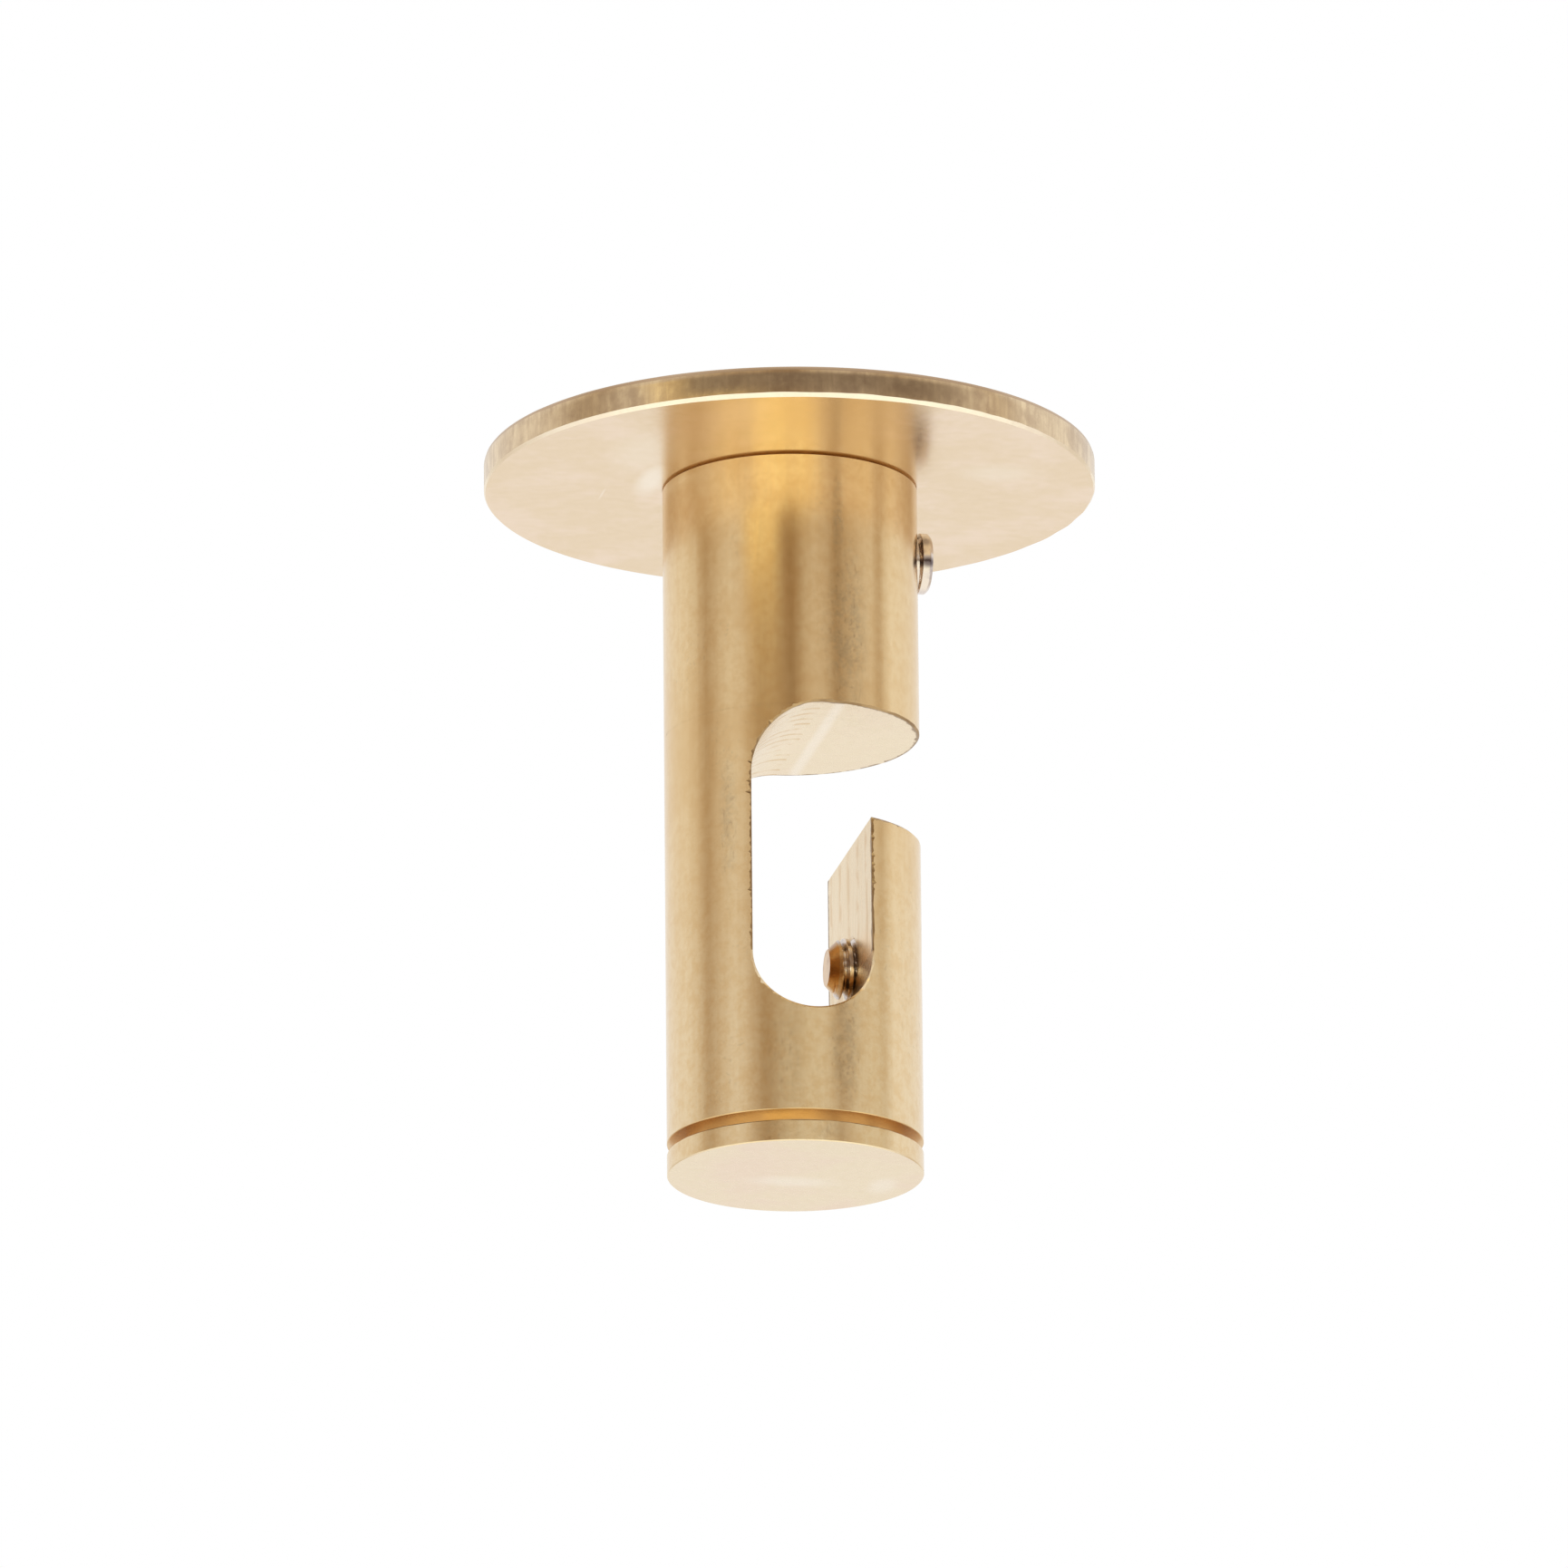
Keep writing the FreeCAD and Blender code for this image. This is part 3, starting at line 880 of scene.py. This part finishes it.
# %% [markdown]
# Two cross holes are tapped through the post, one in the neck and one in the lip. A ring of quads leads from
# the square block in the skin to the hole's countersunk mouth, and the bore is a tube whose radius carries
# the same thread formula as the screws, half a turn on, so that a ridge in the hole sits in a groove of the
# screw.

# %% Tapped holes
tapped_radius, mouth_break = 3.05, 0.25
ridge_height, ridge_fade, ridge_root_flat = 0.55, 0.6, 0.4
bore_rows, ring_rows = 112, 5
square_y = np.concatenate([
    block_steps[:-1], np.full(block_cols, block_half),
    block_steps[:0:-1], np.full(block_cols + 1, -block_half)])
square_z = np.append(np.roll(square_y[:-1], block_cols), -block_half)
hole_turns = np.unwrap(np.arctan2(square_z, square_y))


def round_surface(radius):
    """Function of y and z that gives x on the +X side of a cylinder about Z."""
    return lambda y, z: np.sqrt(radius ** 2 - y ** 2) + 0 * z


def round_in_square(axis_height, surface):
    """Ring from a round mouth to the square around it, laid on a surface that gives x from y and z."""
    share = np.linspace(0, 1, ring_rows + 1)[:, None]
    mouth = tapped_radius + mouth_break
    y = (1 - share) * mouth * np.cos(hole_turns) + share * square_y
    z = axis_height + (1 - share) * mouth * np.sin(hole_turns) + share * square_z
    return points_of(surface(y, z), y, z)


def tapped_bore(axis_height, inner, outer):
    """Threaded tube between two surfaces, with a countersunk mouth at each end."""
    y, z = tapped_radius * np.cos(hole_turns), axis_height + tapped_radius * np.sin(hole_turns)
    start, end = inner(y, z) + mouth_break, outer(y, z) - mouth_break
    x = start + (end - start) * np.linspace(0, 1, bore_rows + 1)[:, None]
    fade = np.clip(np.minimum(x - start, end - x) / ridge_fade, 0, 1)
    turns = thread_phase + x / thread_pitch - hole_turns / (2 * np.pi)
    ridge = ridge_height * fade * thread_height(turns + 0.5, ridge_root_flat)
    radius = tapped_radius - ridge
    tube = points_of(x, radius * np.cos(hole_turns), axis_height + radius * np.sin(hole_turns))
    mouths = [round_in_square(axis_height, surface)[:1] for surface in (inner, outer)]
    return np.concatenate([mouths[0], tube, mouths[1]])


socket_radius, socket_depth, drill_tip = 6.5, 14.0, 3.9
outer_surface, socket_surface = round_surface(post_radius), round_surface(socket_radius)
hole_patches = []
for axis, inner, finish in ((neck_axis, socket_surface, FACED), (lip_axis, lip_surface, LIP)):
    hole_patches += [
        patch(round_in_square(axis, outer_surface), BAR),
        patch(round_in_square(axis, inner), finish),
        patch(tapped_bore(axis, inner, outer_surface), FACED),
    ]
print(f"holes: {len(hole_turns) - 1} points round each mouth")

# %% [markdown]
# The post's ends are turned: a socket for the plate's spigot at the top, and at the foot a narrow groove and
# a flat face. They are bands of revolution again, on the same angles as the skin above, so that the points
# along the seams coincide.

# %% Socket, groove and foot
groove_width, groove_depth, groove_land, groove_break = 1.1, 1.9, 2.1, 0.06
foot_break, chip_play, chip_wave = 0.1, 0.6, 0.075
socket_rows, drill_rows = 3, 4
seat_bottom_skin = left_skin_z[-1]

neck_ring = full_ring(neck_half, post_radius)
socket_ring = full_ring(np.pi / 2, socket_radius)
socket_floor = post_top - socket_depth
socket_z = rows_past(neck_axis, socket_floor, socket_rows, post_top, socket_rows)
socket_wall = revolved(socket_radius, socket_z, socket_ring)
top_outer = revolved(post_radius - top_break, post_top, neck_ring)
top_face = np.stack([top_outer, (top_outer + socket_wall[-1]) / 2, socket_wall[-1]])

foot_half = math.acos(left_skin_x[-1] / post_radius)
foot_ring = full_ring(foot_half, post_radius)
groove_low = post_foot + groove_land
groove_high = groove_low + groove_width
groove_floor = post_radius - groove_depth
chip = groove_break * (1 + chip_play * wander(np.cos(foot_ring), np.sin(foot_ring), chip_wave))
chip[-1] = chip[0]
foot_corners = [
    (post_radius, seat_bottom_skin),
    (post_radius, groove_high + chip),
    (post_radius - chip, groove_high),
    (groove_floor, groove_high),
    (groove_floor, groove_low),
    (post_radius - chip, groove_low),
    (post_radius, groove_low - chip),
    (post_radius, post_foot + foot_break),
    (post_radius - foot_break, post_foot),
    (0, post_foot),
]
foot_finishes = (BAR, GROOVE, GROOVE, GROOVE, GROOVE, FILED, BAR, FILED, FACED)
foot_rows = (12, 1, 2, 2, 2, 1, 3, 1, 14)
top_edge = stretch((post_radius, post_top - top_break), (post_radius - top_break, post_top), 1, neck_ring)
drill_cone = stretch((socket_radius, socket_floor), (0, socket_floor - drill_tip), drill_rows, socket_ring)
end_patches = [
    patch(top_edge, SEAM_SHADE),
    patch(top_face, FACED),
    patch(socket_wall, FACED, without_block(socket_wall, socket_rows, side_cols)),
    patch(drill_cone, FACED),
] + turned_bands(foot_corners, foot_rows, foot_finishes, foot_ring)
post_patches = skin_patches + wall_patches + edge_patches + hole_patches + end_patches
post_finishes = [
    turned_bar, milled_corner, milled_ceiling, milled_lip, milled_wall_painted_shade,
    faced_end, filed_edge, slot_edge_painted_shade, groove_skin, seam_painted_shade,
]
post = closed_piece("slotted_post", post_patches, post_finishes)

# %% [markdown]
# The spigot that joins plate and post is hidden, apart from its end in the middle of the plate's top. The CAD
# solid already has its true form, so it stays and only gets the turned finish.

# %% Spigot finish
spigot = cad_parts["spigot"]
spigot.data.materials.clear()
spigot.data.materials.append(faced_end)
print("spigot wears", spigot.data.materials[0].name)

# %% [markdown]
# Metal looks like what stands around it. A product photographer lights brass with large white surfaces and
# breaks them up with darker strips, so that the curve of the bar can be read. Here the world does that: its
# brightness depends on the direction, with one set of strips above the horizon and a brighter one below. A
# dark band at the horizon on the camera's side shows in the screws. Dim parts of the room are also warmer, so
# green and blue fall off faster than red where the brightness drops below 1, and what is brighter than 1 is a
# little golden. The camera itself sees plain white.

# %% World
upper_strips = [
    (-180, 0.92), (-134, 0.95), (-113, 0.93), (-97, 0.82), (-90, 0.66), (-83, 0.55), (-75, 0.66),
    (-66, 0.79), (-56, 0.87), (-46, 0.82), (-37, 0.64), (-28, 0.485), (-18, 0.50), (-8, 0.45),
    (1, 0.35), (8, 0.52), (14, 0.68), (22, 0.75), (31, 0.70), (37, 0.60), (42, 0.44), (48, 0.57),
    (56, 0.68), (66, 0.76), (77, 0.82), (88, 0.62), (94, 0.84), (101, 0.98), (180, 0.94),
]
lower_strips = [
    (-180, 1.0), (-156, 1.0), (-142, 0.78), (-128, 0.84), (-114, 0.98), (-97, 0.84), (-83, 0.96),
    (-71, 1.15), (-55, 1.34), (-38, 1.28), (-28, 1.6), (-8, 1.66), (2, 1.53), (12, 1.6), (22, 1.45),
    (32, 1.12), (42, 0.8), (53, 1.16), (76, 1.2), (88, 0.84), (104, 1.12), (118, 1.0), (131, 0.84),
    (142, 0.76), (156, 1.0), (180, 1.0),
]
ramp_scale = 2.0
upper_level = 1.025
horizon_steps, top_steps, floor_steps = (-0.05, 0.12), (0.55, 0.9), (-0.5, -0.9)
top_light, floor_light = 1.0, 1.25
band_low, band_high, band_sides, band_light = (-0.15, -0.09), (0.08, 0.02), (1.5, 1.1), 0.14
warm_green_power, warm_blue_power, golden_power = 0.37, 0.9, 0.3


def strips(tree, turn, stops, level=1.0):
    """Brightness by azimuth in degrees from the camera's side, as a colour ramp times a level."""
    ramp = node(tree, "ValToRGB", {"Fac": turn})
    ramp.color_ramp.interpolation = "EASE"
    elements = ramp.color_ramp.elements
    while len(elements) < len(stops):
        elements.new(0.5)
    for element, (degrees, value) in zip(elements, stops):
        element.position = (degrees + 180) / 360
        element.color = (value / ramp_scale,) * 3 + (1,)
    return times(tree, ramp.outputs["Color"], ramp_scale * level)


world = bpy.data.worlds.new("studio")
bpy.context.scene.world = world
world.use_nodes = True
tree = world.node_tree
direction = node(tree, "TexCoord").outputs["Generated"]
part = node(tree, "SeparateXYZ", {"Vector": direction}).outputs
azimuth = calc(tree, "ARCTAN2", part["X"], times(tree, part["Y"], -1.0))
azimuth = calc(tree, "WRAP", calc(tree, "SUBTRACT", azimuth, eye_azimuth), math.pi, -math.pi)
turn = calc(tree, "MULTIPLY_ADD", azimuth, 1 / (2 * math.pi), 0.5)
upper = strips(tree, turn, upper_strips, upper_level)
ring = strips(tree, turn, lower_strips)
for steps, light in ((horizon_steps, upper), (top_steps, top_light), (floor_steps, floor_light)):
    ring = blend(tree, step_up(tree, part["Z"], *steps), ring, light)
at_horizon = times(tree, step_up(tree, part["Z"], *band_low), step_up(tree, part["Z"], *band_high))
on_camera_side = step_up(tree, calc(tree, "ABSOLUTE", azimuth), *band_sides)
ring = blend(tree, times(tree, at_horizon, on_camera_side), ring, band_light)
seen = blend(tree, node(tree, "LightPath").outputs["Is Camera Ray"], ring, 1.0)
dim = calc(tree, "MINIMUM", seen, 1.0)
warm_green = times(tree, seen, calc(tree, "POWER", dim, warm_green_power))
warm_blue = times(tree, seen, calc(tree, "POWER", dim, warm_blue_power))
golden = calc(tree, "POWER", calc(tree, "SUBTRACT", 2.0, calc(tree, "MAXIMUM", seen, 1.0)), golden_power)
warm_blue = times(tree, warm_blue, golden)
warm = node(tree, "CombineColor", {0: seen, 1: warm_green, 2: warm_blue}).outputs[0]
tree.links.new(warm, tree.nodes["Background"].inputs["Color"])
print(f"world: {len(upper_strips)} strips above the horizon, {len(lower_strips)} below")

# %% [markdown]
# A pale floor lies far below, as if the hook hung from a ceiling. It takes a soft shadow and shows only in
# views from above. The brass doesn't mirror it, because the world already is the white that lies under the
# hook.

# %% Floor
floor_depth, floor_radius = 1.2, 9.0
floor_turns = full_turn(72)[:-1]
floor_points = revolved(floor_radius, -floor_depth, floor_turns)
floor_mesh = bpy.data.meshes.new("floor")
floor_mesh.from_pydata(floor_points, [], [list(range(len(floor_turns)))])
pale, tree = new_material("pale_floor")
fill(tree, tree.nodes["Principled BSDF"], {"Base Color": (0.92, 0.92, 0.92, 1), "Roughness": 0.8})
floor_mesh.materials.append(pale)
floor = new_object("floor", floor_mesh)
floor.visible_glossy = False
print("floor: radius", floor_radius, "m")

# %% [markdown]
# Three cards stand close to the hook, as a photographer would hold them, and show only in reflections. A
# golden one beside the plate warms the neck below the seam, a pale one farther out lightens the post's foot,
# and a small dark flag draws the plate's rim. Because they are near, only some heights mirror them. Each is a
# sector whose points carry a share from 0 to 1, a product of one curve down the card and one across it, and
# the card is clear where its share is 0.

# %% Glow cards
card_points = 25
card_steps = np.linspace(0, 1, card_points)


def between(ends):
    """Even steps from the first to the second of two values."""
    return ends[0] + (ends[1] - ends[0]) * card_steps


def glow_card(name, distances, heights, sides, colour, down, across):
    """Sector between two distances from the axis and two heights, in mm, and two azimuths in degrees."""
    distance, height = between(distances)[:, None], between(heights)[:, None]
    azimuth = eye_azimuth + np.radians(between(sides))
    grid = points_of(distance * np.sin(azimuth), -distance * np.cos(azimuth), height)
    mesh = bpy.data.meshes.new(name)
    mesh.from_pydata(grid.reshape(-1, 3) * MM, [], grid_quads(card_points, card_points).reshape(-1, 4))
    share = np.outer(down, across).ravel()
    mesh.attributes.new("share", "FLOAT", "POINT").data.foreach_set("value", share)

    material, tree = new_material(name)
    tree.nodes.clear()
    glow = node(tree, "Emission", {"Color": colour}).outputs[0]
    clear = node(tree, "BsdfTransparent").outputs[0]
    strength = node(tree, "Attribute", attribute_name="share").outputs["Fac"]
    mixed = node(tree, "MixShader", {0: strength, 1: clear, 2: glow}).outputs[0]
    node(tree, "OutputMaterial", {"Surface": mixed})
    mesh.materials.append(material)
    card = new_object(name, mesh)
    card.visible_camera = card.visible_diffuse = card.visible_shadow = False
    print(f"{name}: {distances} mm from the axis")


golden_end, golden_fade = 0.76, 0.34
golden_fall = np.clip((golden_end - card_steps) / golden_fade, 0, 1)
golden_down = golden_fall ** 2 * (3 - 2 * golden_fall)
golden_across = np.interp(card_steps, (0, 0.35, 0.72, 1), (0, 1, 1, 0))
glow_card("golden_card", (46, 98), (8, 8), (-44, -5), (1.60, 1.33, 0.68, 1), golden_down, golden_across)

pale_reach, pale_rise = (-20, 100), 0.25
pale_sides = (-20, -13, -5, 8, 24, 34, 42, 50, 58, 82, 100)
pale_levels = (0.0, 0.55, 0.95, 1.0, 1.0, 0.72, 0.40, 0.5, 0.85, 0.85, 0.0)
pale_down = np.clip(card_steps / pale_rise, 0, 1)
pale_across = np.interp(between(pale_reach), pale_sides, pale_levels)
glow_card("pale_card", (140, 420), (0, 0), pale_reach, (0.84, 0.80, 0.70, 1), pale_down, pale_across)

flag_reach = (-66, 50)
flag_sides = (-66, -57, -50, -44, -30, -22, 34, 50)
flag_levels = (0.0, 0.32, 0.3, 0.2, 0.24, 1.0, 0.9, 0.0)
flag_across = np.interp(between(flag_reach), flag_sides, flag_levels)
flag_down = np.ones(card_points)
glow_card("rim_flag", (40, 40), (0.5, 5.0), flag_reach, (0.29, 0.24, 0.20, 1), flag_down, flag_across)

# %% [markdown]
# Last, every new piece is told which body of the frame it moves with, and the CAD solid that it stands for
# is hidden.

# %% Ride the frame
for piece, body, cad_node, slot in (
    (plate, "hook", "ceiling_plate", "brass"),
    (post, "hook", "hook_post", "brass"),
    (neck_screw, "neck_screw", "neck_screw", "screw_steel"),
    (lip_screw, "lip_screw", "lip_screw", "screw_steel"),
):
    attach(piece, body)
    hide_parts(cad_node)
    print(f"{piece.name} rides on {body} and stands for {cad_node}")
